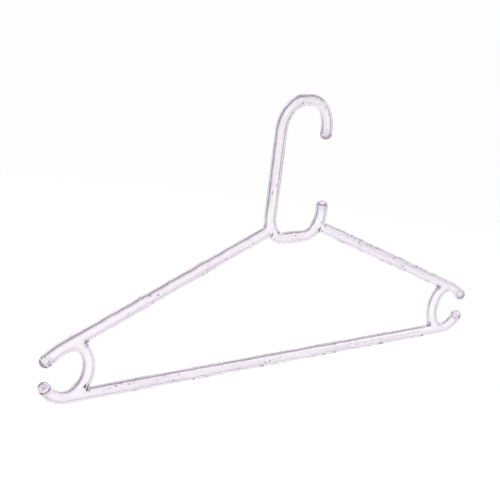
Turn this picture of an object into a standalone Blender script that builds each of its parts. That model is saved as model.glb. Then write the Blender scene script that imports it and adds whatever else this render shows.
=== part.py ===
"""Clear tubular clothes hanger: one size of hollow round tube, bent and bonded, with rounded plugs in the free ends.

World frame, in metres: the hanger stands in the XZ plane, +X to the right, +Y to the back, +Z up.
x = 0 is midway between the two strap rings, y = 0 is the plane of all the centrelines, z = 0 is the
underside of the trouser bar. Dimensions below are in millimetres, and every path is a list of (x, z).
"""

import math

import bmesh
import bpy
import numpy as np
from mathutils import Matrix, Vector

MM = 0.001

# --- tube and fits -------------------------------------------------------------------------------
TUBE_R = 4.0  # outside radius of the tube, measured to a flat of its section
BORE_R = 2.4  # radius of the hollow, measured the same way
SIDES = 16  # flats round the section; one faces straight up, down, front and back
HALF_SIDE = math.pi / SIDES  # angle from the middle of a flat to its corner
GAP = 0.3  # air left between two pieces that meet

PLUG_FIT = 0.3  # radial air round a plug's spigot
PLUG_REACH = 3.2  # how far a spigot goes into its bore
PLUG_CHAMFER = 0.5  # bevel on the spigot's inner end

# --- strap rings, bar and shoulder arms ----------------------------------------------------------
BAR_Z = TUBE_R  # height of the bar's centreline, so the bar's underside is z = 0
RING_X = 190.0  # ring centre from the middle
RING_R = 16.0  # ring centreline radius
RING_Z = BAR_Z + RING_R  # ring centre, so the ring's centreline touches the bar's
RING_SCARF_DEG = 25.0  # how far the arc's ends stop short of the bar's and the arm's touching points

ARM_DEG = 19.1  # slope of each arm below the horizontal, going outward
ARM_INNER_X = -22.8  # left arm's inner end before it is cut back, inside the neck's cup bend
UPPER_JAW_R, UPPER_JAW_DEG = 50.0, 16.6  # the arm's end curls down this much past the ring
LOWER_JAW_R, LOWER_JAW_DEG = 23.0, 47.7  # the bar's end curls up this much past the ring

# --- hook and neck -------------------------------------------------------------------------------
SHANK_X = -26.0  # hook shank centreline
HOOK_TIP_X = 20.0  # centreline of the hook's down-turned end
HOOK_TIP_Z = 157.5  # where the tube ends and its plug begins
HOOK_TOP_Z = 180.0  # top of the hook's centreline
HOOK_BEND_R = 20.0
NECK_TIP_X = -SHANK_X  # centreline of the short upright tip
NECK_TIP_Z = 107.0
CUP_Z = 88.0  # lowest centreline of the cup between shank and upright tip
CUP_BEND_R = 16.0

# --- mesh fineness and tool sizes ----------------------------------------------------------------
BEND_STEP_DEG = 9.0  # largest step between stations on the tight bends
UPPER_JAW_STEP_DEG = 4.2
RING_STEP_DEG = 10.5
DOME_STEP_DEG = 15.0
BORE_OVERRUN = 2.0  # how far a bore cutter runs out past each tube end
NECK_OVERRUN = 6.0  # the same for the neck's clearance cutter
WELD_DISTANCE = 0.002
SCREW_MERGE = 0.001  # joins a plug's outline where it meets the axis or closes the turn
SHARP_DEG = 35

# --- plastic -------------------------------------------------------------------------------------
CLEAR_COLOUR = (0.86, 0.84, 0.92)
CLEAR_IOR = 1.57
TRANSMISSION = 0.9
VIEWPORT_ALPHA = 0.4
TUBE_ROUGHNESS = 0.06
RING_ROUGHNESS = 0.07
PLUG_ROUGHNESS = 0.08


def clear_scene():
    for obj in list(bpy.data.objects):
        bpy.data.objects.remove(obj, do_unlink=True)
    for old in list(bpy.data.collections):
        bpy.data.collections.remove(old)


def new_collection(name):
    made = bpy.data.collections.new(name)
    bpy.context.scene.collection.children.link(made)
    return made


def clear_plastic(name, tint_shift, roughness):
    """Clear plastic, its colour lightened or darkened by tint_shift in every channel."""
    colour = [channel + tint_shift for channel in CLEAR_COLOUR]
    made = bpy.data.materials.new(name)
    made.use_nodes = True
    shader = made.node_tree.nodes["Principled BSDF"]
    shader.inputs["Base Color"].default_value = (*colour, 1.0)
    shader.inputs["Roughness"].default_value = roughness
    shader.inputs["IOR"].default_value = CLEAR_IOR
    shader.inputs["Transmission Weight"].default_value = TRANSMISSION
    made.diffuse_color = (*colour, VIEWPORT_ALPHA)
    return made


# --- paths ---------------------------------------------------------------------------------------
def arc(centre_x, centre_z, radius, start_deg, end_deg, step_deg=BEND_STEP_DEG):
    """Evenly spaced points from start_deg to end_deg, both included, at most step_deg apart."""
    count = math.ceil(abs(end_deg - start_deg) / step_deg) + 1
    angles = np.radians(np.linspace(start_deg, end_deg, count))
    return [
        (centre_x + radius * math.cos(angle), centre_z + radius * math.sin(angle))
        for angle in angles
    ]


def mirrored(path):
    return [(-x, z) for x, z in path]


def end_of(path):
    """The last point and the unit direction in which the path leaves it."""
    (before_x, before_z), (x, z) = path[-2:]
    length = math.hypot(x - before_x, z - before_z)
    return (x, z), ((x - before_x) / length, (z - before_z) / length)


def stretched(path, reach):
    """The path with each end run on straight by reach."""
    first, last = (
        (point[0] + outward[0] * reach, point[1] + outward[1] * reach)
        for point, outward in (end_of(path[::-1]), end_of(path))
    )
    return [first, *path, last]


def hook_neck_path():
    """Hook tip, over the hook, down the shank, round the cup and up to the short tip."""
    hook_z = HOOK_TOP_Z - HOOK_BEND_R
    cup_z = CUP_Z + CUP_BEND_R
    return [
        (HOOK_TIP_X, HOOK_TIP_Z),
        *arc(HOOK_TIP_X - HOOK_BEND_R, hook_z, HOOK_BEND_R, 0, 90),
        *arc(SHANK_X + HOOK_BEND_R, hook_z, HOOK_BEND_R, 90, 180),
        *arc(SHANK_X + CUP_BEND_R, cup_z, CUP_BEND_R, 180, 270),
        *arc(NECK_TIP_X - CUP_BEND_R, cup_z, CUP_BEND_R, 270, 360),
        (NECK_TIP_X, NECK_TIP_Z),
    ]


def left_arm_path():
    """From the neck down to where the arm touches the ring, then the upper jaw's slight curl."""
    slope = math.radians(ARM_DEG)
    touch_x = -RING_X - RING_R * math.sin(slope)
    touch_z = RING_Z + RING_R * math.cos(slope)
    inner_z = touch_z + (ARM_INNER_X - touch_x) * math.tan(slope)
    jaw = arc(
        touch_x + UPPER_JAW_R * math.sin(slope),
        touch_z - UPPER_JAW_R * math.cos(slope),
        UPPER_JAW_R,
        90 + ARM_DEG,
        90 + ARM_DEG + UPPER_JAW_DEG,
        UPPER_JAW_STEP_DEG,
    )
    return [(ARM_INNER_X, inner_z), *jaw]


def bar_path():
    """Left lower jaw, straight bar, right lower jaw."""
    jaw = arc(-RING_X, BAR_Z + LOWER_JAW_R, LOWER_JAW_R, 270 - LOWER_JAW_DEG, 270)
    return [*jaw, *mirrored(jaw)[::-1]]


def left_ring_path():
    """The side of the left ring that faces the middle, from the bar up to the arm."""
    start_deg = -90 + RING_SCARF_DEG
    end_deg = 90 + ARM_DEG - RING_SCARF_DEG
    return arc(-RING_X, RING_Z, RING_R, start_deg, end_deg, RING_STEP_DEG)


# --- tools ---------------------------------------------------------------------------------------
def show_as_cutter(obj):
    obj.hide_render = True
    obj.display_type = "WIRE"


def section(radius):
    """A closed profile with SIDES flats, each radius from the centre, to carry along a path."""
    data = bpy.data.curves.new(f"section_{radius:.2f}", "CURVE")
    data.dimensions = "2D"
    data.fill_mode = "NONE"
    spline = data.splines.new("POLY")
    spline.points.add(SIDES - 1)
    corner = radius * MM / math.cos(HALF_SIDE)
    for i, point in enumerate(spline.points):
        angle = 2 * math.pi * (i + 0.5) / SIDES
        point.co = (corner * math.cos(angle), corner * math.sin(angle), 0.0, 1.0)
    spline.use_cyclic_u = True
    obj = bpy.data.objects.new(data.name, data)
    HELPERS.objects.link(obj)
    show_as_cutter(obj)
    return obj


def evaluated_mesh(obj):
    """What the curve or modifiers make, as a new mesh in the object's own space."""
    bpy.context.view_layer.update()
    graph = bpy.context.evaluated_depsgraph_get()
    return bpy.data.meshes.new_from_object(obj.evaluated_get(graph))


def finished(name, mesh, collection):
    """The mesh as an object, with its seams welded and its faces pointing out."""
    work = bmesh.new()
    work.from_mesh(mesh)
    bmesh.ops.remove_doubles(work, verts=work.verts, dist=WELD_DISTANCE * MM)
    bmesh.ops.recalc_face_normals(work, faces=work.faces)
    if work.calc_volume(signed=True) < 0:
        bmesh.ops.reverse_faces(work, faces=work.faces)
    work.to_mesh(mesh)
    work.free()
    mesh.name = name
    obj = bpy.data.objects.new(name, mesh)
    collection.objects.link(obj)
    return obj


def swept(name, path, profile, collection):
    """A solid rod in world space: the profile carried along the path, with both ends capped."""
    data = bpy.data.curves.new(name + "_path", "CURVE")
    data.dimensions = "3D"
    data.twist_mode = "Z_UP"
    data.bevel_mode = "OBJECT"
    data.bevel_object = profile
    data.use_fill_caps = True
    spline = data.splines.new("POLY")
    spline.points.add(len(path) - 1)
    for point, (x, z) in zip(spline.points, path):
        point.co = (x * MM, z * MM, 0.0, 1.0)
    guide = bpy.data.objects.new(name + "_path", data)
    collection.objects.link(guide)
    # The path is drawn flat in local XY, then stood up into the world's XZ plane.
    guide.matrix_world = Matrix.Rotation(math.pi / 2, 4, "X")
    mesh = evaluated_mesh(guide)
    mesh.transform(guide.matrix_world)
    bpy.data.objects.remove(guide, do_unlink=True)
    return finished(name, mesh, collection)


def cut(obj, cutter):
    modifier = obj.modifiers.new("cut_" + cutter.name, "BOOLEAN")
    modifier.operation = "DIFFERENCE"
    modifier.solver = "EXACT"
    modifier.object = cutter
    show_as_cutter(cutter)


def clearance(name, path):
    """A cutter that leaves GAP of air round the tube that follows the path."""
    return swept(name, path, SECTION_CLEAR, HELPERS)


def tube(name, path, material, cutters=()):
    """A hollow tube along the path, open at both ends, cut back by the cutters."""
    rod = swept(name, path, SECTION_OUT, PARTS)
    bore = swept(name + "_bore", stretched(path, BORE_OVERRUN), SECTION_IN, HELPERS)
    for cutter in (bore, *cutters):
        cut(rod, cutter)
    rod.data.materials.append(material)


def plug_outline():
    """Half the plug's outline as (radius, height past the tube's end), from spigot to dome top."""
    spigot_r = BORE_R - PLUG_FIT
    return [
        (0.0, -PLUG_REACH),
        (spigot_r - PLUG_CHAMFER, -PLUG_REACH),
        (spigot_r, -PLUG_REACH + PLUG_CHAMFER),
        (spigot_r, GAP),
        *arc(0.0, GAP, TUBE_R, 0, 90, DOME_STEP_DEG)[:-1],
        (0.0, GAP + TUBE_R),
    ]


def plug(name, end, outward, material):
    """A rounded plug at a tube's end: a dome as wide as the tube, on a spigot in its bore."""
    # The outline lies on a corner of the section, so that the turned flats keep their radius.
    points = [
        (radius * MM, radius * math.tan(HALF_SIDE) * MM, height * MM)
        for radius, height in plug_outline()
    ]
    outline = bpy.data.meshes.new(name)
    outline.from_pydata(points, [(i, i + 1) for i in range(len(points) - 1)], [])
    spun = bpy.data.objects.new(name + "_outline", outline)
    PARTS.objects.link(spun)
    screw = spun.modifiers.new("turn", "SCREW")
    screw.axis = "Z"
    screw.angle = 2 * math.pi
    screw.steps = screw.render_steps = SIDES
    screw.use_merge_vertices = True
    screw.merge_threshold = SCREW_MERGE * MM
    mesh = evaluated_mesh(spun)
    bpy.data.objects.remove(spun, do_unlink=True)

    # Local Z goes along outward, and local X stays square to the hanger's plane, so the flats
    # line up with the tube's.
    along = Vector((outward[0], 0.0, outward[1])).normalized()
    across = Vector((0.0, 1.0, 0.0))
    stand = Matrix((across, along.cross(across), along)).transposed().to_4x4()
    stand.translation = Vector((end[0] * MM, 0.0, end[1] * MM))
    mesh.transform(stand)
    made = finished(name, mesh, PARTS)
    made.data.materials.append(material)


# --- the hanger ----------------------------------------------------------------------------------
clear_scene()
PARTS = new_collection("clothes_hanger")
HELPERS = new_collection("cutters")
HELPERS.hide_render = True

SECTION_OUT = section(TUBE_R)
SECTION_IN = section(BORE_R)
SECTION_CLEAR = section(TUBE_R + GAP)

hook_neck = hook_neck_path()
left_arm = left_arm_path()
bar = bar_path()
left_ring = left_ring_path()

clear_neck = clearance("clear_neck", stretched(hook_neck, NECK_OVERRUN))
clear_bar = clearance("clear_bar", bar)

tube(
    "hook_neck_tube",
    hook_neck,
    clear_plastic("clear_hook_neck", tint_shift=0.0, roughness=TUBE_ROUGHNESS),
)
for side, placed in (("left", list), ("right", mirrored)):
    arm = placed(left_arm)
    clear_arm = clearance(f"clear_{side}_arm", arm)
    tube(
        f"{side}_shoulder_tube",
        arm,
        clear_plastic(f"clear_{side}_shoulder", tint_shift=0.01, roughness=TUBE_ROUGHNESS),
        [clear_neck],
    )
    tube(
        f"{side}_ring_arc",
        placed(left_ring),
        clear_plastic(f"clear_{side}_ring", tint_shift=-0.01, roughness=RING_ROUGHNESS),
        [clear_arm, clear_bar],
    )
tube(
    "trouser_bar_tube",
    bar,
    clear_plastic("clear_bar", tint_shift=0.0, roughness=TUBE_ROUGHNESS),
)

# Each plug closes the last end of its path.
plugged_paths = {
    "hook_tip_plug": hook_neck[::-1],
    "neck_tip_plug": hook_neck,
    "upper_left_jaw_plug": left_arm,
    "upper_right_jaw_plug": mirrored(left_arm),
    "lower_left_jaw_plug": bar[::-1],
    "lower_right_jaw_plug": bar,
}
for name, path in plugged_paths.items():
    material = clear_plastic("clear_" + name, tint_shift=0.02, roughness=PLUG_ROUGHNESS)
    plug(name, *end_of(path), material)

for obj in [*PARTS.objects, *HELPERS.objects]:
    if obj.type == "MESH":
        obj.data.shade_smooth()
        obj.data.set_sharp_from_angle(angle=math.radians(SHARP_DEG))
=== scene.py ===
"""Looks of the clear tubular clothes hanger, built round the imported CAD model.

The six CAD tubes are replaced by one fine closed mesh, though the CAD keeps them apart: hollow round tube swept
along each centreline, and, where tubes meet, a blended join cut from a distance field and stitched to the sweeps. The
rounded plugs in the free ends are pieces of their own. The plastic, the floor and the lights are all nodes. Lengths in
this file are millimetres until a mesh is made.
"""

import math  # noqa: E402

import bmesh  # noqa: E402
import bpy  # noqa: E402
import numpy as np  # noqa: E402
from mathutils import Matrix, Vector  # noqa: E402
from mathutils.bvhtree import BVHTree  # noqa: E402


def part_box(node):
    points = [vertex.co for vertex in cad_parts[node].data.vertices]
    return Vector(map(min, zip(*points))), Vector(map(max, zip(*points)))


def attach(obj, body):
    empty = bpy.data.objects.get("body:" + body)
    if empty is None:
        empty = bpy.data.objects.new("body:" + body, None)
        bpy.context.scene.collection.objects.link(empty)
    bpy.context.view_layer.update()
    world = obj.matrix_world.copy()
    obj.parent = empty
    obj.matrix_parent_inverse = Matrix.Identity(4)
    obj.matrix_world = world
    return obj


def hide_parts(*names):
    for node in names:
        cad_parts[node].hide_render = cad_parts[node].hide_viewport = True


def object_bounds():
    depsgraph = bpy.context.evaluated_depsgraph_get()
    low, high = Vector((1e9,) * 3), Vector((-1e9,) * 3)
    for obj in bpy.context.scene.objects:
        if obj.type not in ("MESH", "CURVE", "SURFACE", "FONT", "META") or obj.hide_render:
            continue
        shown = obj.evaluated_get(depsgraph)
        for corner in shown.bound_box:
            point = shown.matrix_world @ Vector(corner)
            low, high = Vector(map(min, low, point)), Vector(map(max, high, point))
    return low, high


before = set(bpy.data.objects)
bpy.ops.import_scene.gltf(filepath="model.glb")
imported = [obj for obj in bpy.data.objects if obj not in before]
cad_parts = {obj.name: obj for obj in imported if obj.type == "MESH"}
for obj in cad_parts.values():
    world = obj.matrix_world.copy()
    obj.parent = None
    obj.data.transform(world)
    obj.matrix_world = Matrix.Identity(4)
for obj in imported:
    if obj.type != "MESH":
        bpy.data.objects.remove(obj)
cad_low, cad_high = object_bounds()

MM = 0.001


def span(node):
    """A CAD node's box as two lists, in millimetres."""
    low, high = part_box(node)
    return [1000 * v for v in low], [1000 * v for v in high]


# --- sizes, read from the CAD nodes where a box gives them ---------------------------------------------------------
neck_low, neck_high = span("hook_neck_tube")
bar_low, bar_high = span("trouser_bar_tube")
ring_low, ring_high = span("left_ring_arc")
hook_plug_low, hook_plug_high = span("hook_tip_plug")

TUBE_R = bar_high[1]
BORE_R = 2.4
BAR_Z = bar_low[2] + TUBE_R
SHANK_X = neck_low[0] + TUBE_R
NECK_TIP_X = neck_high[0] - TUBE_R
HOOK_TOP_Z = neck_high[2] - TUBE_R
CUP_Z = neck_low[2] + TUBE_R
HOOK_TIP_X = (hook_plug_low[0] + hook_plug_high[0]) / 2
HOOK_TIP_Z = hook_plug_high[2] - 3.2
NECK_TIP_Z = span("neck_tip_plug")[0][2] + 3.2
HOOK_BEND_R = 20.0
CUP_BEND_R = 16.0
RING_R = 16.0
RING_X = -(ring_high[0] - TUBE_R) + RING_R
ARM_DEG = 19.1
UPPER_JAW_R, UPPER_JAW_DEG = 50.0, 16.6
LOWER_JAW_R, LOWER_JAW_DEG = 23.0, 47.7


class Path:
    """A centreline in the hanger's plane, made of straight runs and arcs, read by distance along it."""

    def __init__(self, x, z, heading_deg):
        self.start = (x, z, heading_deg)
        self.moves = []
        self.at = np.array([x, z], float)
        self.heading = math.radians(heading_deg)
        self.runs = []  # (start distance, length, start point, start heading, curvature)
        self.length = 0.0

    def _add(self, length, curvature):
        self.runs.append((self.length, length, self.at, self.heading, curvature))
        self.at, self.heading = self._step(self.at, self.heading, curvature, length)
        self.length += length
        return self

    @staticmethod
    def _step(at, heading, curvature, length):
        turned = heading + curvature * length
        if abs(curvature) < 1e-9:
            move = np.stack([np.cos(heading) * length, np.sin(heading) * length], -1)
        else:
            across = np.sin(turned) - np.sin(heading)
            along = np.cos(heading) - np.cos(turned)
            move = np.stack([across, along], -1) / curvature
        return at + move, turned

    def straight(self, length):
        self.moves.append((length, 0.0))
        return self._add(length, 0.0)

    def turn(self, radius, degrees):
        """Anticlockwise for positive degrees, seen from the front."""
        self.moves.append((radius, degrees))
        angle = math.radians(degrees)
        return self._add(abs(angle) * radius, math.copysign(1 / radius, angle))

    def mirrored(self):
        x, z, heading = self.start
        other = Path(-x, z, 180 - heading)
        for size, degrees in self.moves:
            if degrees:
                other.turn(size, -degrees)
            else:
                other.straight(size)
        return other

    def read(self, s):
        """Points (..., 2) and headings (...) at distances s."""
        s = np.asarray(s, float)
        points, headings = np.zeros(s.shape + (2,)), np.zeros(s.shape)
        for i, (start, length, at, heading, curvature) in enumerate(self.runs):
            last = i == len(self.runs) - 1
            inside = ((s >= start) | (i == 0)) & ((s < start + length) | last)
            local = s[inside] - start
            at = np.broadcast_to(at, local.shape + (2,))
            points[inside], headings[inside] = self._step(at, heading, curvature, local)
        return points, headings

    def reach(self, points):
        """How far 3-D points are from this centreline, and the distance along it of the nearest place."""
        flat = points[..., [0, 2]]
        best = np.full(flat.shape[:-1], np.inf)
        where = np.zeros(flat.shape[:-1])
        for start, length, at, heading, curvature in self.runs:
            if abs(curvature) < 1e-9:
                along = np.array([math.cos(heading), math.sin(heading)])
                local = np.clip((flat - at) @ along, 0, length)
            else:
                left = np.array([-math.sin(heading), math.cos(heading)])
                centre = at + left / curvature
                spoke = flat - centre
                first = math.atan2(at[1] - centre[1], at[0] - centre[0])
                turned = np.arctan2(spoke[..., 1], spoke[..., 0]) - first
                turned = np.mod(turned * np.sign(curvature), 2 * np.pi)
                whole = length * abs(curvature)
                spare = (2 * np.pi - whole) / 2
                turned = np.where(turned > whole + spare, 0.0, np.minimum(turned, whole))
                local = turned / abs(curvature)
            near, _ = self._step(at, heading, curvature, local)
            gap = np.linalg.norm(flat - near, axis=-1)
            closer = gap < best
            best, where = np.where(closer, gap, best), np.where(closer, local + start, where)
        return np.hypot(best, points[..., 1]), where

    def angle(self, points, s):
        """Angle round the tube of 3-D points beside distance s: 0 is the left of the heading, a quarter turn is +Y."""
        at, heading = self.read(s)
        offset = points[..., [0, 2]] - at
        left = np.stack([-np.sin(heading), np.cos(heading)], -1)
        return np.arctan2(points[..., 1], (offset * left).sum(-1))


# --- the centrelines -----------------------------------------------------------------------------------------------
slope = math.radians(ARM_DEG)
ring_top_x = -RING_X - RING_R * math.sin(slope)
ring_top_z = BAR_Z + RING_R * (1 + math.cos(slope))
ARM_START_X = SHANK_X + 1.9  # inside the cup's bend, a little outside its centreline

hook_neck = (
    Path(HOOK_TIP_X, HOOK_TIP_Z, 90)
    .straight(HOOK_TOP_Z - HOOK_BEND_R - HOOK_TIP_Z)
    .turn(HOOK_BEND_R, 90)
    .straight(HOOK_TIP_X - SHANK_X - 2 * HOOK_BEND_R)
    .turn(HOOK_BEND_R, 90)
    .straight(HOOK_TOP_Z - HOOK_BEND_R - CUP_Z - CUP_BEND_R)
    .turn(CUP_BEND_R, 90)
    .straight(NECK_TIP_X - SHANK_X - 2 * CUP_BEND_R)
    .turn(CUP_BEND_R, 90)
    .straight(NECK_TIP_Z - CUP_Z - CUP_BEND_R)
)
arm_start_z = ring_top_z + (ARM_START_X - ring_top_x) * math.tan(slope)
arm_straight = (ARM_START_X - ring_top_x) / math.cos(slope)
left_arm = (
    Path(ARM_START_X, arm_start_z, 180 + ARM_DEG)
    .straight(arm_straight)
    .turn(UPPER_JAW_R, UPPER_JAW_DEG)
)
jaw = math.radians(LOWER_JAW_DEG)
bar = (
    Path(
        -RING_X - LOWER_JAW_R * math.sin(jaw),
        BAR_Z + LOWER_JAW_R * (1 - math.cos(jaw)),
        -LOWER_JAW_DEG,
    )
    .turn(LOWER_JAW_R, LOWER_JAW_DEG)
    .straight(2 * RING_X)
    .turn(LOWER_JAW_R, LOWER_JAW_DEG)
)
left_ring = Path(-RING_X, BAR_Z, 0).turn(RING_R, 180 + ARM_DEG)


# --- joins: where tubes meet, the surface of a blended distance field ------------------------------------------------
def smooth(t):
    t = np.clip(t, 0, 1)
    return t * t * (3 - 2 * t)


def pair(points, a, b, ends):
    """How far points are from each of two centrelines, and how far the two have parted there, from 0 to 1.

    With ends, the parting counts as 0 beside b's ends, where b runs into a and adds nothing to it.
    """
    gap_a, s_a = a.reach(points)
    gap_b, s_b = b.reach(points)
    apart = np.linalg.norm(a.read(s_a)[0] - b.read(s_b)[0], axis=-1)
    parted = smooth(apart / 5.0)
    if ends:
        parted = parted * smooth(s_b / 4.0) * smooth((b.length - s_b) / 4.0)
    return gap_a, gap_b, parted


def blended(points, a, b, radius, fillet, ends):
    """Distance outside two tubes run together, with a fillet that grows as their centrelines part."""
    gap_a, gap_b, parted = pair(points, a, b, ends)
    k = fillet * parted + 1e-6
    share = np.clip(0.5 + 0.5 * (gap_b - gap_a) / k, 0, 1)
    return gap_b * (1 - share) + gap_a * share - k * share * (1 - share) - radius


# Two centrelines, whether their parting counts from b's ends, and the fillets of the skin and of the hollow.
NECK_PAIRS = [(hook_neck, left_arm, False, 3.0, 4.4)]
RING_PAIRS = [(bar, left_ring, True, 3.2, 4.2), (left_arm, left_ring, True, 3.2, 4.2)]


def join_of(pairs):
    """Distances outside a join's skin and outside its hollow."""

    def distances(points):
        outside = [blended(points, a, b, TUBE_R, fillet, ends) for a, b, ends, fillet, _ in pairs]
        hollow = [blended(points, a, b, BORE_R, fillet, ends) for a, b, ends, _, fillet in pairs]
        return np.min(outside, axis=0), np.min(hollow, axis=0)

    return distances


def solid(join):
    def distance(points):
        outside, hollow = join(points)
        return np.maximum(outside, -hollow)

    return distance


def settle(distance, points, rounds):
    """Points moved onto the surface."""
    for _ in range(rounds):
        slope_at = np.zeros_like(points)
        for axis in range(3):
            nudge = np.zeros(3)
            nudge[axis] = 0.01
            slope_at[:, axis] = distance(points + nudge) - distance(points - nudge)
        slope_at /= 0.02
        size = np.maximum((slope_at**2).sum(-1, keepdims=True), 0.25)
        step = distance(points)[:, None] * slope_at / size
        points = points - np.clip(step, -0.4, 0.4)
    return points


def net(distance, low, high, step):
    """Quads round the surface inside a box: one point in each cell that it crosses, one quad round each crossed edge."""
    axes = [np.arange(a, b + step, step) for a, b in zip(low, high)]
    grid = np.stack(np.meshgrid(*axes, indexing="ij"), -1)
    inside = distance(grid.reshape(-1, 3)).reshape(grid.shape[:3]) < 0
    corners = np.stack(
        [
            inside[i : i + inside.shape[0] - 1, j : j + inside.shape[1] - 1, k : k + inside.shape[2] - 1]
            for i in (0, 1)
            for j in (0, 1)
            for k in (0, 1)
        ]
    )
    crossed = corners.any(0) & ~corners.all(0)
    index = np.full(crossed.shape, -1)
    index[crossed] = np.arange(crossed.sum())
    points = grid[:-1, :-1, :-1][crossed] + step / 2
    quads = []
    for axis in range(3):
        a, b = [other for other in range(3) if other != axis]
        first = np.take(inside, range(inside.shape[axis] - 1), axis)
        change = first != np.take(inside, range(1, inside.shape[axis]), axis)
        keep = [slice(None)] * 3
        keep[a] = keep[b] = slice(1, -1)
        at = np.argwhere(change[tuple(keep)])
        at[:, a] += 1
        at[:, b] += 1
        ring = []
        for back_a, back_b in ((0, 0), (1, 0), (1, 1), (0, 1)):
            cell = at.copy()
            cell[:, a] -= back_a
            cell[:, b] -= back_b
            ring.append(index[tuple(cell.T)])
        quads.append(np.stack(ring, -1))
    return points, np.concatenate(quads)


def relax(distance, points, quads, rounds):
    """Evens out the quads, keeping every point on the surface."""
    pairs = np.concatenate([quads[:, [i, (i + 1) % 4]] for i in range(4)])
    pairs = np.unique(np.sort(pairs, axis=1), axis=0)
    count = np.bincount(pairs.ravel(), minlength=len(points))[:, None]
    for _ in range(rounds):
        total = np.zeros_like(points)
        np.add.at(total, pairs[:, 0], points[pairs[:, 1]])
        np.add.at(total, pairs[:, 1], points[pairs[:, 0]])
        points = points + 0.6 * (total / np.maximum(count, 1) - points)
        points = settle(distance, points, 1)
    return settle(distance, points, 3)


def loops_of(quads):
    """The open edges of the quads, as closed runs of points."""
    edges = np.concatenate([quads[:, [i, (i + 1) % 4]] for i in range(4)])
    key = np.sort(edges, axis=1)
    _, first, count = np.unique(key, axis=0, return_index=True, return_counts=True)
    after = {}
    for a, b in edges[first[count == 1]]:
        after.setdefault(int(a), []).append(int(b))
        after.setdefault(int(b), []).append(int(a))
    pinched = [v for v, others in after.items() if len(others) != 2]
    if pinched:
        return None, pinched
    loops, seen = [], set()
    for start in after:
        if start in seen:
            continue
        loop, before, here = [start], None, start
        seen.add(start)
        while True:
            step = [v for v in after[here] if v != before]
            before, here = here, step[0]
            if here == start:
                break
            loop.append(here)
            seen.add(here)
        loops.append(np.array(loop))
    return loops, []


def join_mesh(join, low, high, step, stubs):
    """A join's points and quads, cut off square at each stub (path, distance, which way is out)."""
    distance = solid(join)
    points, quads = net(distance, low, high, step)
    points = settle(distance, points, 4)
    points = relax(distance, points, quads, 6)
    gone = np.zeros(len(points), bool)
    for path, cut, out in stubs:
        gap, s = path.reach(points)
        gone |= (gap < TUBE_R + 0.6) & ((s - cut) * out > 0)
    while True:
        kept = quads[~gone[quads].any(axis=1)]
        loops, pinched = loops_of(kept)
        if not pinched:
            break
        gone[pinched] = True
    used = np.unique(kept)
    renumber = np.full(len(points), -1)
    renumber[used] = np.arange(len(used))
    outside, hollow = join(points[used])
    wall = (np.abs(hollow) < np.abs(outside)).astype(float)
    return points[used], renumber[kept], [renumber[loop] for loop in loops], wall


def unfold(points, faces):
    """Ease open the few faces that fold over where a join's ragged edge meets a sweep, along the surface only."""
    points = points.copy()
    tris = np.array([(f[0], f[i], f[i + 1]) for f in faces for i in range(1, len(f) - 1)])
    edges = np.concatenate([tris[:, [0, 1]], tris[:, [1, 2]], tris[:, [2, 0]]])
    rising = edges[:, 0] < edges[:, 1]
    edges = np.sort(edges, axis=1)
    order = np.lexsort((edges[:, 1], edges[:, 0]))
    edges = edges[order][0::2]
    sides = np.tile(np.arange(len(tris)), 3)[order].reshape(-1, 2)
    rising = rising[order].reshape(-1, 2)
    agree = np.where(rising[:, 0] != rising[:, 1], 1.0, -1.0)  # the pieces aren't all wound the same way yet
    skin = BVHTree.FromPolygons(points.tolist(), tris.tolist(), all_triangles=True)
    for _ in range(8):
        a, b, c = (points[tris[:, k]] for k in range(3))
        normal = np.cross(b - a, c - a)
        normal /= np.maximum(np.linalg.norm(normal, axis=1)[:, None], 1e-30)
        over = (normal[sides[:, 0]] * normal[sides[:, 1]]).sum(axis=1) * agree < 0.0
        if not over.any():
            break
        moving = np.zeros(len(points), bool)
        moving[tris[sides[over]].ravel()] = True
        for _ in range(2):
            moving[edges[moving[edges].any(axis=1)]] = True
        near = edges[moving[edges].any(axis=1)]
        count = np.bincount(near.ravel(), minlength=len(points))[moving][:, None]
        for _ in range(12):
            total = np.zeros_like(points)
            np.add.at(total, near[:, 0], points[near[:, 1]])
            np.add.at(total, near[:, 1], points[near[:, 0]])
            eased = 0.5 * (points[moving] + total[moving] / count)
            points[moving] = [skin.find_nearest(p)[0] for p in eased.tolist()]
    return points


# --- the moulded body ------------------------------------------------------------------------------------------------
SEAM = 0.042  # half the angle of the parting line's ridge
half_turn = [0.0, SEAM, *np.linspace(0.155, math.pi - 0.155, 25), math.pi - SEAM]
ANGLES = np.array([*half_turn, *(a + math.pi for a in half_turn)])
ROUND = len(ANGLES)


def wave(s, seed):
    """A smooth uneven line between -1 and 1, the same each run."""
    rng = np.random.default_rng(seed)
    out = np.zeros_like(s)
    for wavelength, weight in ((61.0, 0.5), (27.0, 0.3), (13.0, 0.2)):
        out += weight * np.sin(2 * np.pi * (s / wavelength + rng.random()))
    return out


def beads(s, seed):
    """Short ripples that come and go along the bore, as where the plastic froze unevenly behind the flow front."""
    rng = np.random.default_rng(seed)
    where = np.sin(2 * np.pi * (s / 83.0 + rng.random())) * np.sin(
        2 * np.pi * (s / 47.0 + rng.random())
    )
    return smooth((where - 0.15) / 0.5) * np.sin(2 * np.pi * (s / 5.2 + rng.random()))


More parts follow.
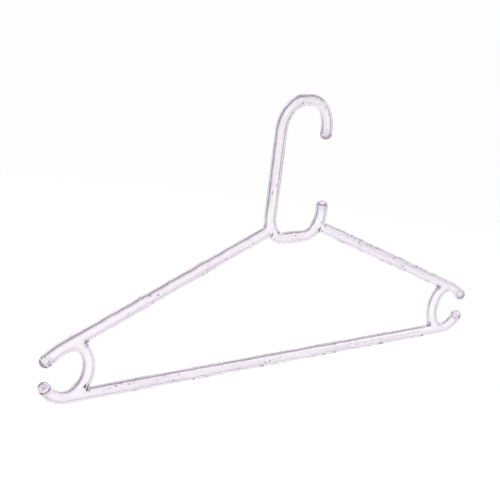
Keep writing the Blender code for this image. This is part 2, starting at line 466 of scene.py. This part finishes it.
class Body:
    """Points and faces gathered for one closed mesh, with what the plastic's nodes read at each point."""

    def __init__(self):
        self.points, self.tube, self.wall, self.plain, self.faces = [], [], [], [], []
        self.count = 0

    def add(self, points, tube, wall, plain):
        self.points.append(points)
        self.tube.append(tube)
        self.wall.append(wall)
        self.plain.append(plain)
        self.count += len(points)
        return np.arange(self.count - len(points), self.count)

    def place(self, index):
        return np.concatenate(self.points)[index]

    def strip(self, a, b):
        nxt = np.roll(np.arange(len(a)), -1)
        self.faces += np.stack([a, b, b[nxt], a[nxt]], -1).tolist()

    def zip(self, path, s, loop, ring):
        """Triangles between a join's ragged edge and a sweep's first ring, both run round the tube the same way."""
        points = self.place(np.concatenate([loop, ring]))
        around = path.angle(points, np.full(len(points), s))
        a, b = around[: len(loop)], around[len(loop) :]
        a = np.unwrap(a)
        if a[-1] < a[0]:
            loop, a = loop[::-1], np.unwrap(around[: len(loop)][::-1])
        b = np.unwrap(b)
        if b[-1] < b[0]:
            ring, b = ring[::-1], np.unwrap(around[len(points) - len(ring) :][::-1])
        start = int(np.argmin(np.abs(np.angle(np.exp(1j * (b - a[0]))))))
        ring = np.roll(ring, -start)
        b = np.unwrap(np.roll(b, -start))
        b += 2 * np.pi * round((a[0] - b[0]) / (2 * np.pi))
        i = j = 0
        while i < len(loop) or j < len(ring):
            next_a = a[i + 1] if i + 1 < len(loop) else a[0] + 2 * np.pi
            next_b = b[j + 1] if j + 1 < len(ring) else b[0] + 2 * np.pi
            here_a, here_b = int(loop[i % len(loop)]), int(ring[j % len(ring)])
            if j >= len(ring) or (i < len(loop) and next_a <= next_b):
                self.faces.append([here_a, int(loop[(i + 1) % len(loop)]), here_b])
                i += 1
            else:
                self.faces.append([here_a, int(ring[(j + 1) % len(ring)]), here_b])
                j += 1

    def ring(self, path, s, radius, wall=0.0, plain=0.0, shift=(0.0, 0.0)):
        """One ring of points round the path at distance s, its centre shifted across the path."""
        at, heading = path.read(np.array([s]))
        u = radius * np.cos(ANGLES) + shift[0]
        v = radius * np.sin(ANGLES) + shift[1]
        x = at[0, 0] - math.sin(heading[0]) * u
        z = at[0, 1] + math.cos(heading[0]) * u
        return self.add(
            np.stack([x, v, z], -1),
            np.stack([np.full(ROUND, s), u, v], -1),
            np.full(ROUND, wall),
            np.full(ROUND, plain),
        )

    def sweep(self, path, low, high, seed, low_join=None, high_join=None):
        """Hollow tube from low to high. An end is stitched to its join's two loops, or left open for a plug."""
        stand_off = 0.45
        marks = stations(
            path,
            low + (stand_off if low_join else 0.0),
            high - (stand_off if high_join else 0.0),
        )
        ends = marks[0], marks[-1]
        fine = stations(path, *ends, 0.9, 1.1)

        def fade(s):
            return float(smooth((s - low) / 7) * smooth((high - s) / 7))

        def even(s):
            """1 beside a join, 0 well along the tube: patterns that follow the tube stop there."""
            near = 1.0
            if low_join:
                near *= smooth((s - low) / 9)
            if high_join:
                near *= smooth((high - s) / 9)
            return 1 - float(near)

        if not low_join:
            marks, fine = marks[1:], fine[1:]
        if not high_join:
            marks, fine = marks[:-1], fine[:-1]
        outer, inner = [], []
        ridge = np.isin(np.arange(ROUND), (0, ROUND // 2)) * 0.022
        for s in marks:
            swell = 0.022 * wave(np.array([s]), seed + 3)[0] * fade(s)
            outer.append(
                self.ring(path, s, TUBE_R + swell + ridge * fade(s), 0.0, even(s))
            )
        for s in fine:
            at = np.array([s])
            uneven = 0.12 * wave(at, seed)[0] + 0.045 * beads(at, seed + 6)[0]
            radius = BORE_R + fade(s) * uneven
            shift = [fade(s) * 0.12 * wave(at, seed + i)[0] for i in (1, 2)]
            inner.append(self.ring(path, s, radius, 1.0, even(s), shift))
        for rings in (outer, inner):
            for a, b in zip(rings, rings[1:]):
                self.strip(a, b)
        for joined, side in ((low_join, 0), (high_join, -1)):
            if joined:
                for loop, rings in zip(joined, (outer, inner)):
                    self.zip(path, (low, high)[side], loop, rings[side])
                continue
            edge, inwards = ends[side], (1, -1)[side]
            rim = [outer[side]]
            for along, radius in (
                (0.42, TUBE_R),
                (0.16, TUBE_R),
                (0.05, TUBE_R - 0.05),
                (0.0, TUBE_R - 0.16),
                (0.0, BORE_R + 0.75),
                (0.0, BORE_R + 0.10),
                (0.03, BORE_R + 0.03),
                (0.10, BORE_R),
                (0.42, BORE_R),
            ):
                rim.append(self.ring(path, edge + inwards * along, radius))
            rim.append(inner[side])
            for a, b in zip(rim, rim[1:]):
                self.strip(a, b)

    def join(self, made, flip=1.0):
        points, quads, loops, wall = made
        points = points * np.array([flip, 1.0, 1.0])
        # The last number is the way front to back, as it is along a tube, so the parting line runs on.
        index = self.add(points, points[:, [0, 2, 1]], wall, np.ones(len(points)))
        self.faces += index[quads].tolist()
        return [index[loop] for loop in loops]

    def loops_at(self, loops, path, s):
        """The outer and the inner loop beside distance s on a path."""
        near = []
        for loop in loops:
            gap, where = path.reach(self.place(loop))
            if gap.max() < TUBE_R + 0.3 and np.abs(where - s).max() < 2.0:
                near.append((gap.mean(), loop))
        if len(near) != 2:
            raise RuntimeError(f"{len(near)} loops beside {s:.1f}, and not 2")
        near.sort(key=lambda pair: -pair[0])
        return [loop for _, loop in near]


def stations(path, low, high, bend_step=0.9, straight_step=2.5):
    """Distances between low and high, closer together round the bends."""
    marks = [low]
    for start, length, _, _, curvature in path.runs:
        a, b = max(low, start), min(high, start + length)
        if b - a < 1e-6:
            continue
        step = bend_step if abs(curvature) > 1e-9 else straight_step
        marks += list(np.linspace(a, b, max(1, math.ceil((b - a) / step)) + 1)[1:])
    return np.array(marks)


def finished(name, points, faces, attributes, sharp_deg=40):
    """A Blender object from points in millimetres, its faces turned out."""
    mesh = bpy.data.meshes.new(name)
    mesh.from_pydata((points * MM).tolist(), [], faces)
    work = bmesh.new()
    work.from_mesh(mesh)
    bmesh.ops.recalc_face_normals(work, faces=work.faces)
    if work.calc_volume(signed=True) < 0:
        bmesh.ops.reverse_faces(work, faces=work.faces)
    loose = sum(not edge.is_manifold for edge in work.edges)
    if loose:
        raise RuntimeError(f"{name} has {loose} edges that don't join two faces")
    work.to_mesh(mesh)
    work.free()
    for key, kind, values in attributes:
        attribute = mesh.attributes.new(key, kind, "POINT")
        field = "vector" if kind == "FLOAT_VECTOR" else "value"
        attribute.data.foreach_set(field, np.asarray(values, np.float32).ravel())
    mesh.shade_smooth()
    mesh.set_sharp_from_angle(angle=math.radians(sharp_deg))
    obj = bpy.data.objects.new(name, mesh)
    bpy.context.scene.collection.objects.link(obj)
    return obj


shank_cut = hook_neck.runs[5][0] - 0.4
cup_cut = hook_neck.runs[6][0]
arm_cut = 15.0
arm_ring_cut = arm_straight - 24.0
upper_jaw_cut = arm_straight + 7.0
lower_jaw_cut = bar.runs[1][0] - 8.0
bar_cut = bar.runs[1][0] + 23.5
neck_made = join_mesh(
    join_of(NECK_PAIRS),
    (-44.0, -4.7, CUP_Z - 6.0),
    (SHANK_X + CUP_BEND_R + 2.5, 4.7, CUP_Z + CUP_BEND_R + 5.5),
    0.45,
    [(hook_neck, shank_cut, -1), (hook_neck, cup_cut, 1), (left_arm, arm_cut, 1)],
)
ring_made = join_mesh(
    join_of(RING_PAIRS),
    (-207.0, -4.7, -0.8),
    (-163.5, 4.7, 50.0),
    0.45,
    [
        (left_arm, arm_ring_cut, -1),
        (left_arm, upper_jaw_cut, 1),
        (bar, lower_jaw_cut, -1),
        (bar, bar_cut, 1),
    ],
)
moulding = Body()
right_arm = left_arm.mirrored()
neck_left, neck_right = moulding.join(neck_made), moulding.join(neck_made, -1.0)
ring_left, ring_right = moulding.join(ring_made), moulding.join(ring_made, -1.0)


def at(loops, path, s):
    return moulding.loops_at(loops, path, s)


cup_end = hook_neck.runs[7][0]
upright_cut = hook_neck.runs[8][0] + 0.4
moulding.sweep(hook_neck, 0.0, shank_cut, 11, None, at(neck_left, hook_neck, shank_cut))
moulding.sweep(
    hook_neck,
    cup_cut,
    cup_end,
    21,
    at(neck_left, hook_neck, cup_cut),
    at(neck_right, hook_neck, cup_end),
)
moulding.sweep(
    hook_neck,
    upright_cut,
    hook_neck.length,
    31,
    at(neck_right, hook_neck, upright_cut),
    None,
)
for arm, neck_loops, ring_loops, seed in (
    (left_arm, neck_left, ring_left, 41),
    (right_arm, neck_right, ring_right, 51),
):
    moulding.sweep(
        arm,
        arm_cut,
        arm_ring_cut,
        seed,
        at(neck_loops, arm, arm_cut),
        at(ring_loops, arm, arm_ring_cut),
    )
    moulding.sweep(
        arm, upper_jaw_cut, arm.length, seed + 5, at(ring_loops, arm, upper_jaw_cut), None
    )
moulding.sweep(bar, 0.0, lower_jaw_cut, 61, None, at(ring_left, bar, lower_jaw_cut))
moulding.sweep(
    bar,
    bar_cut,
    bar.length - bar_cut,
    71,
    at(ring_left, bar, bar_cut),
    at(ring_right, bar, bar.length - bar_cut),
)
moulding.sweep(
    bar,
    bar.length - lower_jaw_cut,
    bar.length,
    81,
    at(ring_right, bar, bar.length - lower_jaw_cut),
    None,
)


# --- plugs ---------------------------------------------------------------------------------------------------------
def plug_mesh(name, at, outward_deg, seed):
    """A rounded plug turned about the tube's axis: dome, chamfered shoulder, spigot in the bore and a small gate mark."""
    gap, spigot, reach = 0.03, BORE_R - 0.06, 3.0
    top = gap + TUBE_R + 0.27
    outline = [(0.0, -reach + 0.35)]
    outline += [
        (r, -reach + 0.35 * (1 - math.sqrt(max(0.0, 1 - (r / (spigot - 0.2)) ** 2))))
        for r in np.linspace(0.4, spigot - 0.2, 5)
    ]
    outline += [(spigot - 0.05, -reach + 0.42), (spigot, -reach + 0.6)]
    outline += [(spigot, z) for z in np.linspace(-reach + 1.2, -0.12, 3)]
    outline += [(spigot + 0.03, gap - 0.03), (spigot + 0.1, gap)]
    outline += [(TUBE_R - 0.14, gap), (TUBE_R - 0.04, gap + 0.04), (TUBE_R, gap + 0.14)]
    dome = [
        (TUBE_R * math.cos(t), gap + 0.27 + TUBE_R * math.sin(t))
        for t in np.radians(np.linspace(0, 90, 25))
    ]
    gate = 0.9
    outline += [p for p in dome if p[0] > gate + 0.1]
    rim = top - (TUBE_R - math.sqrt(TUBE_R**2 - gate**2))
    outline += [(gate, rim), (gate - 0.1, rim - 0.06), (gate - 0.25, rim - 0.08)]
    outline += [(0.3, rim - 0.08), (0.0, rim - 0.08)]
    rng = np.random.default_rng(seed)
    count = ROUND
    angles = 2 * np.pi * np.arange(count) / count
    heading = math.radians(outward_deg)
    along = np.array([math.cos(heading), 0.0, math.sin(heading)])
    left = np.array([-math.sin(heading), 0.0, math.cos(heading)])
    across = np.array([0.0, 1.0, 0.0])
    origin = np.array([at[0], 0.0, at[1]])
    verts, tube_at, faces = [], [], []
    rings = []
    shift = rng.random() * 100
    for r, h in outline:
        if r == 0.0:
            rings.append(len(verts))
            verts.append(origin + along * h)
            tube_at.append((shift + h, 0.0, 0.0))
            continue
        rings.append(np.arange(len(verts), len(verts) + count))
        for t in angles:
            verts.append(
                origin + along * h + left * r * math.cos(t) + across * r * math.sin(t)
            )
            tube_at.append((shift + h, r * math.cos(t), r * math.sin(t)))
    nxt = np.roll(np.arange(count), -1)
    for low, high in zip(rings, rings[1:]):
        for k in range(count):
            if np.ndim(low) == 0:
                faces.append((low, high[k], high[nxt[k]]))
            elif np.ndim(high) == 0:
                faces.append((low[k], high, low[nxt[k]]))
            else:
                faces.append((low[k], high[k], high[nxt[k]], low[nxt[k]]))
    points = np.array(verts)
    return finished(
        name,
        points,
        [tuple(int(i) for i in f) for f in faces],
        [
            ("tube", "FLOAT_VECTOR", tube_at),
            ("wall", "FLOAT", np.zeros(len(points))),
            ("plain", "FLOAT", np.ones(len(points))),
        ],
        35,
    )


# --- nodes ---------------------------------------------------------------------------------------------------------
class Nodes:
    """Short calls for making and wiring shader nodes."""

    def __init__(self, tree):
        self.tree = tree
        tree.nodes.clear()

    def add(self, kind, values=None, **settings):
        node = self.tree.nodes.new(kind)
        for key, value in settings.items():
            setattr(node, key, value)
        for key, value in (values or {}).items():
            socket = node.inputs[key]
            if isinstance(value, bpy.types.NodeSocket):
                self.tree.links.new(value, socket)
            else:
                socket.default_value = value
        return node

    def math(self, operation, a, b=0.0, c=0.0, clamp=False):
        return self.add(
            "ShaderNodeMath", {0: a, 1: b, 2: c}, operation=operation, use_clamp=clamp
        ).outputs[0]

    def ramp(self, value, low, high, to_low=0.0, to_high=1.0):
        return self.add(
            "ShaderNodeMapRange",
            {0: value, 1: low, 2: high, 3: to_low, 4: to_high},
            interpolation_type="SMOOTHSTEP",
        ).outputs[0]

    def mix_colour(self, share, a, b):
        node = self.tree.nodes.new("ShaderNodeMix")
        node.data_type = "RGBA"
        for key, value in ((0, share), (6, a), (7, b)):
            if isinstance(value, bpy.types.NodeSocket):
                self.tree.links.new(value, node.inputs[key])
            else:
                node.inputs[key].default_value = value
        return node.outputs[2]


def clear_plastic(name, shift, tint=(0.995, 0.991, 0.996), depth=1.0, haze=0.012):
    """Clear, faintly violet moulded plastic: absorption in its depth, flow ripples, a parting line, specks and scuffs."""
    made = bpy.data.materials.new(name)
    made.use_nodes = True
    n = Nodes(made.node_tree)
    at = n.add("ShaderNodeAttribute", attribute_name="tube").outputs["Vector"]
    wall = n.add("ShaderNodeAttribute", attribute_name="wall").outputs["Fac"]
    plain = n.add("ShaderNodeAttribute", attribute_name="plain").outputs["Fac"]
    along_tube = n.math("SUBTRACT", 1.0, plain, clamp=True)
    place = n.add(
        "ShaderNodeVectorMath",
        {0: n.add("ShaderNodeTexCoord").outputs["Object"], 1: (1000.0, 1000.0, 1000.0)},
        operation="MULTIPLY",
    ).outputs[0]
    moved = n.add(
        "ShaderNodeVectorMath", {0: at, 1: (shift * 37.3, shift * 5.1, 0.0)}, operation="ADD"
    ).outputs[0]

    def stretched(along, across):
        return n.add(
            "ShaderNodeVectorMath",
            {0: moved, 1: (along, across, across)},
            operation="MULTIPLY",
        ).outputs[0]

    ripple = n.add(
        "ShaderNodeTexNoise",
        {"Vector": stretched(0.035, 0.34), "Scale": 1.0, "Detail": 1.5, "Roughness": 0.4},
    ).outputs["Fac"]
    ripple = n.math("MULTIPLY", ripple, along_tube)
    peel = n.add(
        "ShaderNodeTexNoise", {"Vector": place, "Scale": 1.0, "Detail": 2.0}
    ).outputs["Fac"]
    patch = n.add(
        "ShaderNodeTexNoise",
        {"Vector": stretched(0.035, 0.12), "Scale": 1.0, "Detail": 3.0},
    ).outputs["Fac"]
    speck = n.add(
        "ShaderNodeTexVoronoi",
        {"Vector": stretched(0.20, 0.55), "Scale": 1.0, "Randomness": 1.0},
        feature="F1",
    )
    chosen = n.ramp(n.add("ShaderNodeSeparateColor", {0: speck.outputs["Color"]}).outputs[0], 0.66, 0.68)
    dot = n.math(
        "MULTIPLY", n.ramp(speck.outputs["Distance"], 0.16, 0.27, 1.0, 0.0), chosen
    )
    near = n.math("MULTIPLY", n.ramp(patch, 0.50, 0.60), along_tube)
    dot = n.math("MULTIPLY", dot, near)

    split = n.add("ShaderNodeSeparateXYZ", {0: at})
    seam = n.ramp(n.math("ABSOLUTE", split.outputs[2]), 0.10, 0.32, 1.0, 0.0)
    outside = n.math("SUBTRACT", 1.0, wall, clamp=True)
    seam = n.math("MULTIPLY", seam, outside)

    height = n.math("MULTIPLY", ripple, 0.05)
    height = n.math("MULTIPLY_ADD", peel, 0.0012, height)
    height = n.math("MULTIPLY_ADD", seam, 0.012, height)
    height = n.math("MULTIPLY_ADD", dot, -0.16, height)
    bump = n.add(
        "ShaderNodeBump", {"Strength": 1.0, "Distance": 0.001, "Height": height}
    ).outputs["Normal"]

    scuff = n.add(
        "ShaderNodeTexNoise",
        {"Vector": place, "Scale": 0.8, "Detail": 4.0, "Roughness": 0.7},
    ).outputs["Fac"]
    rough = n.math("MULTIPLY_ADD", n.ramp(scuff, 0.55, 0.80), 0.05, haze)
    rough = n.math("MULTIPLY_ADD", dot, 0.25, rough)
    rough = n.math("MULTIPLY_ADD", seam, 0.05, rough)

    colour = n.mix_colour(
        n.math("MULTIPLY", n.ramp(patch, 0.35, 0.70), along_tube),
        (*tint, 1.0),
        (0.999, 0.998, 1.0, 1.0),
    )
    streak = n.add(
        "ShaderNodeTexNoise",
        {"Vector": stretched(0.016, 0.42), "Scale": 1.0, "Detail": 2.0, "Roughness": 0.5},
    ).outputs["Fac"]
    streak = n.math("MULTIPLY", n.ramp(streak, 0.50, 0.68), along_tube)
    colour = n.mix_colour(streak, colour, (0.915, 0.875, 0.905, 1.0))
    colour = n.mix_colour(dot, colour, (0.42, 0.40, 0.46, 1.0))
    glass = n.add(
        "ShaderNodeBsdfPrincipled",
        {
            "Base Color": colour,
            "Roughness": rough,
            "IOR": 1.56,
            "Transmission Weight": 1.0,
            "Normal": bump,
        },
    ).outputs[0]
    # Light that only casts shadow goes through, tinted, so that the floor keeps the pale shadow of a clear thing.
    through = n.add(
        "ShaderNodeBsdfTransparent", {"Color": (0.90, 0.885, 0.915, 1.0)}
    ).outputs[0]
    path = n.add("ShaderNodeLightPath")
    surface = n.add(
        "ShaderNodeMixShader",
        {0: path.outputs["Is Shadow Ray"], 1: glass, 2: through},
    ).outputs[0]
    soak = n.add(
        "ShaderNodeVolumeAbsorption",
        {"Color": (0.81, 0.70, 0.83, 1.0), "Density": 85.0 * depth},
    ).outputs[0]
    n.add("ShaderNodeOutputMaterial", {"Surface": surface, "Volume": soak})
    made.diffuse_color = (0.87, 0.85, 0.92, 0.35)
    return made


# --- the hanger ----------------------------------------------------------------------------------------------------
body = finished(
    "moulded_body",
    unfold(np.concatenate(moulding.points), moulding.faces),
    moulding.faces,
    [
        ("tube", "FLOAT_VECTOR", np.concatenate(moulding.tube)),
        ("wall", "FLOAT", np.concatenate(moulding.wall)),
        ("plain", "FLOAT", np.concatenate(moulding.plain)),
    ],
)
body.data.materials.append(clear_plastic("moulded_clear_plastic", 1))
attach(body, "root")
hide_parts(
    "hook_neck_tube",
    "left_shoulder_tube",
    "right_shoulder_tube",
    "trouser_bar_tube",
    "left_ring_arc",
    "right_ring_arc",
)


def tip(path, at_end):
    """The point and outward heading at one end of a path."""
    point, heading = path.read(np.array([path.length if at_end else 0.0]))
    return point[0], math.degrees(heading[0]) + (0 if at_end else 180)


plugs = {
    "hook_tip_plug": tip(hook_neck, False),
    "neck_tip_plug": tip(hook_neck, True),
    "upper_left_jaw_plug": tip(left_arm, True),
    "upper_right_jaw_plug": tip(right_arm, True),
    "lower_left_jaw_plug": tip(bar, False),
    "lower_right_jaw_plug": tip(bar, True),
}
for i, (node, (point, outward)) in enumerate(plugs.items()):
    piece = plug_mesh(node.replace("_plug", "_cap"), point, outward, 90 + i)
    piece.data.materials.append(clear_plastic("plastic_" + node, 20 + i, depth=0.8, haze=0.10))
    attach(piece, "root")
    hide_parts(node)


# --- floor, light and camera ---------------------------------------------------------------------------------------
PALE = (0.985, 0.984, 0.985)  # the floor and the room, just under white
BLUSH = (0.560, 0.500, 0.565)  # the same seen a little above: a broad soft streak along the tube's upper half
DUSK = (0.140, 0.122, 0.138)  # what surrounds them, above and to the left of the camera's view
VIOLET = (0.440, 0.405, 0.590)  # and right overhead: the lower edge of a tube
LILAC = (0.380, 0.340, 0.425)  # and below and to the right
SOFT_COS = 0.992, 0.925  # cosines of how far a ray is bent before it meets the soft tone, then has it in full
HARD_COS = 0.87, 0.58  # and the same for the dark
middle = (cad_low + cad_high) / 2


def field(n, ray):
    """Colour of the field round the hanger for a ray: pale to the camera, darker to rays that the plastic bends aside.

    A clear tube is photographed against a bright field with darker surroundings, which draws its edges as fine lines.
    This keeps the bright field behind the hanger for a camera on any side.
    """

    def from_camera(vector, kind):
        return n.add(
            "ShaderNodeVectorTransform",
            {0: vector},
            vector_type=kind,
            convert_from="CAMERA",
            convert_to="WORLD",
        ).outputs[0]

    def dot(a, b):
        return n.add("ShaderNodeVectorMath", {0: a, 1: b}, operation="DOT_PRODUCT").outputs["Value"]

    eye = from_camera((0.0, 0.0, 0.0), "POINT")
    sight = n.add("ShaderNodeVectorMath", {0: tuple(middle), 1: eye}, operation="SUBTRACT").outputs[0]
    sight = n.add("ShaderNodeVectorMath", {0: sight}, operation="NORMALIZE").outputs[0]
    # Incoming points back along the ray.
    cosine = n.math("MULTIPLY", dot(ray, sight), -1.0)
    path = n.add("ShaderNodeLightPath")
    # A reflection off the outside sees mostly the pale field, which leaves the tube's very edge pale and clean.
    seen_in = n.math(
        "MULTIPLY_ADD", path.outputs["Is Glossy Ray"], 0.25, path.outputs["Is Transmission Ray"], clamp=True
    )
    # The room behind the camera is pale too, and so is light that has bounced about in the plastic for long.
    forward = n.ramp(cosine, -0.35, 0.20)
    direct = n.ramp(path.outputs["Ray Depth"], 4.2, 6.8, 1.0, 0.10)
    seen_in = n.math("MULTIPLY", n.math("MULTIPLY", seen_in, forward), direct)
    lean = n.math("MULTIPLY", dot(ray, from_camera((-0.45, 0.89, 0.0), "VECTOR")), -1.0)
    above = n.ramp(lean, -0.05, 0.22)
    soft = n.math("MULTIPLY", n.ramp(cosine, SOFT_COS[1], SOFT_COS[0], 1.0, 0.0), seen_in)
    soft = n.math("MULTIPLY", soft, n.math("MULTIPLY_ADD", above, 0.88, 0.12))
    hard = n.math("MULTIPLY", n.ramp(cosine, HARD_COS[1], HARD_COS[0], 1.0, 0.0), seen_in)
    overhead = n.ramp(cosine, 0.30, 0.55, 1.0, 0.0)
    dark = n.mix_colour(overhead, (*DUSK, 1.0), (*VIOLET, 1.0))
    dark = n.mix_colour(above, (*LILAC, 1.0), dark)
    colour = n.mix_colour(soft, (*PALE, 1.0), (*BLUSH, 1.0))
    return n.mix_colour(hard, colour, dark)


world = bpy.data.worlds.new("studio")
world.use_nodes = True
bpy.context.scene.world = world
n = Nodes(world.node_tree)
ray = n.add("ShaderNodeNewGeometry").outputs["Incoming"]
glow = n.add("ShaderNodeBackground", {"Color": field(n, ray), "Strength": 1.0})
n.add("ShaderNodeOutputWorld", {"Surface": glow.outputs[0]})

floor_mesh = bpy.data.meshes.new("floor")
work = bmesh.new()
bmesh.ops.create_circle(work, cap_ends=True, segments=96, radius=3.0)
work.to_mesh(floor_mesh)
work.free()
floor = bpy.data.objects.new("floor", floor_mesh)
bpy.context.scene.collection.objects.link(floor)
floor.location = (0, 0, cad_low.z - 0.11)
pale = bpy.data.materials.new("pale_floor")
pale.use_nodes = True
n = Nodes(pale.node_tree)
here = n.add("ShaderNodeNewGeometry")
grain = n.add(
    "ShaderNodeTexNoise",
    {"Vector": here.outputs["Position"], "Scale": 45.0, "Detail": 4.0},
).outputs["Fac"]
lit = 0.22  # share of the floor's brightness that takes shadow; the rest is even
even = n.add(
    "ShaderNodeEmission", {"Color": field(n, here.outputs["Incoming"]), "Strength": 1.0 - lit}
).outputs[0]
shade = n.ramp(grain, 0.3, 0.7, 0.97, 1.0)
shade = n.math("MULTIPLY", shade, 1.0 * lit)
colour = n.add("ShaderNodeCombineColor", {0: shade, 1: shade, 2: shade}).outputs[0]
matt = n.add("ShaderNodeBsdfDiffuse", {"Color": colour}).outputs[0]
both = n.add("ShaderNodeAddShader", {0: even, 1: matt}).outputs[0]
far = n.add("ShaderNodeVectorMath", {0: here.outputs["Position"]}, operation="LENGTH").outputs["Value"]
clear = n.add("ShaderNodeBsdfTransparent", {"Color": (1.0, 1.0, 1.0, 1.0)}).outputs[0]
faded = n.add("ShaderNodeMixShader", {0: n.ramp(far, 0.55, 1.6), 1: both, 2: clear}).outputs[0]
n.add("ShaderNodeOutputMaterial", {"Surface": faded})
floor.data.materials.append(pale)


def softbox(name, place_at, size, power, colour=(1.0, 1.0, 1.0)):
    data = bpy.data.lights.new(name, "AREA")
    data.shape = "RECTANGLE"
    data.size, data.size_y = size
    data.energy = power
    data.color = colour
    obj = bpy.data.objects.new(name, data)
    bpy.context.scene.collection.objects.link(obj)
    obj.location = place_at
    obj.rotation_mode = "QUATERNION"
    obj.rotation_quaternion = (middle - Vector(place_at)).to_track_quat("-Z", "Y")
    obj.visible_camera = False
    obj.visible_transmission = False
    return obj


softbox("key", (-0.9, -1.0, 1.5), (0.8, 0.8), 9)
softbox("fill", (1.4, -0.5, 0.9), (0.3, 1.2), 3)
softbox("back", (0.3, 1.3, 1.2), (1.0, 0.4), 4)

# The photograph's viewpoint: from the left and a little above, with the hanger leaning in the frame. The lens is
# longer and aimed at the hanger, so that its 8 mm tube fills more than a few pixels.
AZIMUTH, ELEVATION, ROLL = math.radians(-42.93), math.radians(11.56), math.radians(7.12)
DISTANCE, ACROSS, UP = 1.0607, 0.14151, 0.00841
FOCAL_PX, ZOOM = 896.3, 1.8
back = Vector(
    (
        math.sin(AZIMUTH) * math.cos(ELEVATION),
        -math.cos(AZIMUTH) * math.cos(ELEVATION),
        math.sin(ELEVATION),
    )
)


def turned(back):
    """The camera's right and up, rolled about the line of sight."""
    level_right = (-back).cross(Vector((0, 0, 1))).normalized()
    level_up = level_right.cross(-back)
    right = math.cos(ROLL) * level_right + math.sin(ROLL) * level_up
    up = math.cos(ROLL) * level_up - math.sin(ROLL) * level_right
    return right, up


right, up = turned(back)
eye = Vector((0, 0, 0.110)) + back * DISTANCE - right * ACROSS - up * UP
camera_data = bpy.data.cameras.new("camera")
camera_data.sensor_width = 36.0
camera_data.lens = FOCAL_PX / 500 * 36.0 * ZOOM
camera = bpy.data.objects.new("camera", camera_data)
bpy.context.scene.collection.objects.link(camera)
if ZOOM == 1.0:
    camera_data.shift_x, camera_data.shift_y = -4.19 / 500, 2.10 / 500
else:
    seen = [Vector((x, 0, z)) for x, z in ((cad_low.x, 0.02), (cad_high.x, 0.02), (-0.2, 0), (0, cad_high.z))]
    for _ in range(4):
        rays = [point - eye for point in seen]
        across = [ray.dot(right) / -ray.dot(back) for ray in rays]
        upward = [ray.dot(up) / -ray.dot(back) for ray in rays]
        aside = right * (min(across) + max(across)) / 2 + up * (min(upward) + max(upward)) / 2
        back = (back - aside).normalized()
        right, up = turned(back)
camera.matrix_world = Matrix.Translation(eye) @ Matrix((right, up, back)).transposed().to_4x4()
camera_data.clip_start, camera_data.clip_end = 0.01, 50.0
bpy.context.scene.camera = camera

scene = bpy.context.scene
scene.view_settings.view_transform = "Standard"
scene.view_settings.look = "None"
scene.cycles.max_bounces = 24
scene.cycles.transmission_bounces = 24
scene.cycles.transparent_max_bounces = 16
scene.cycles.glossy_bounces = 8
scene.cycles.use_denoising = True
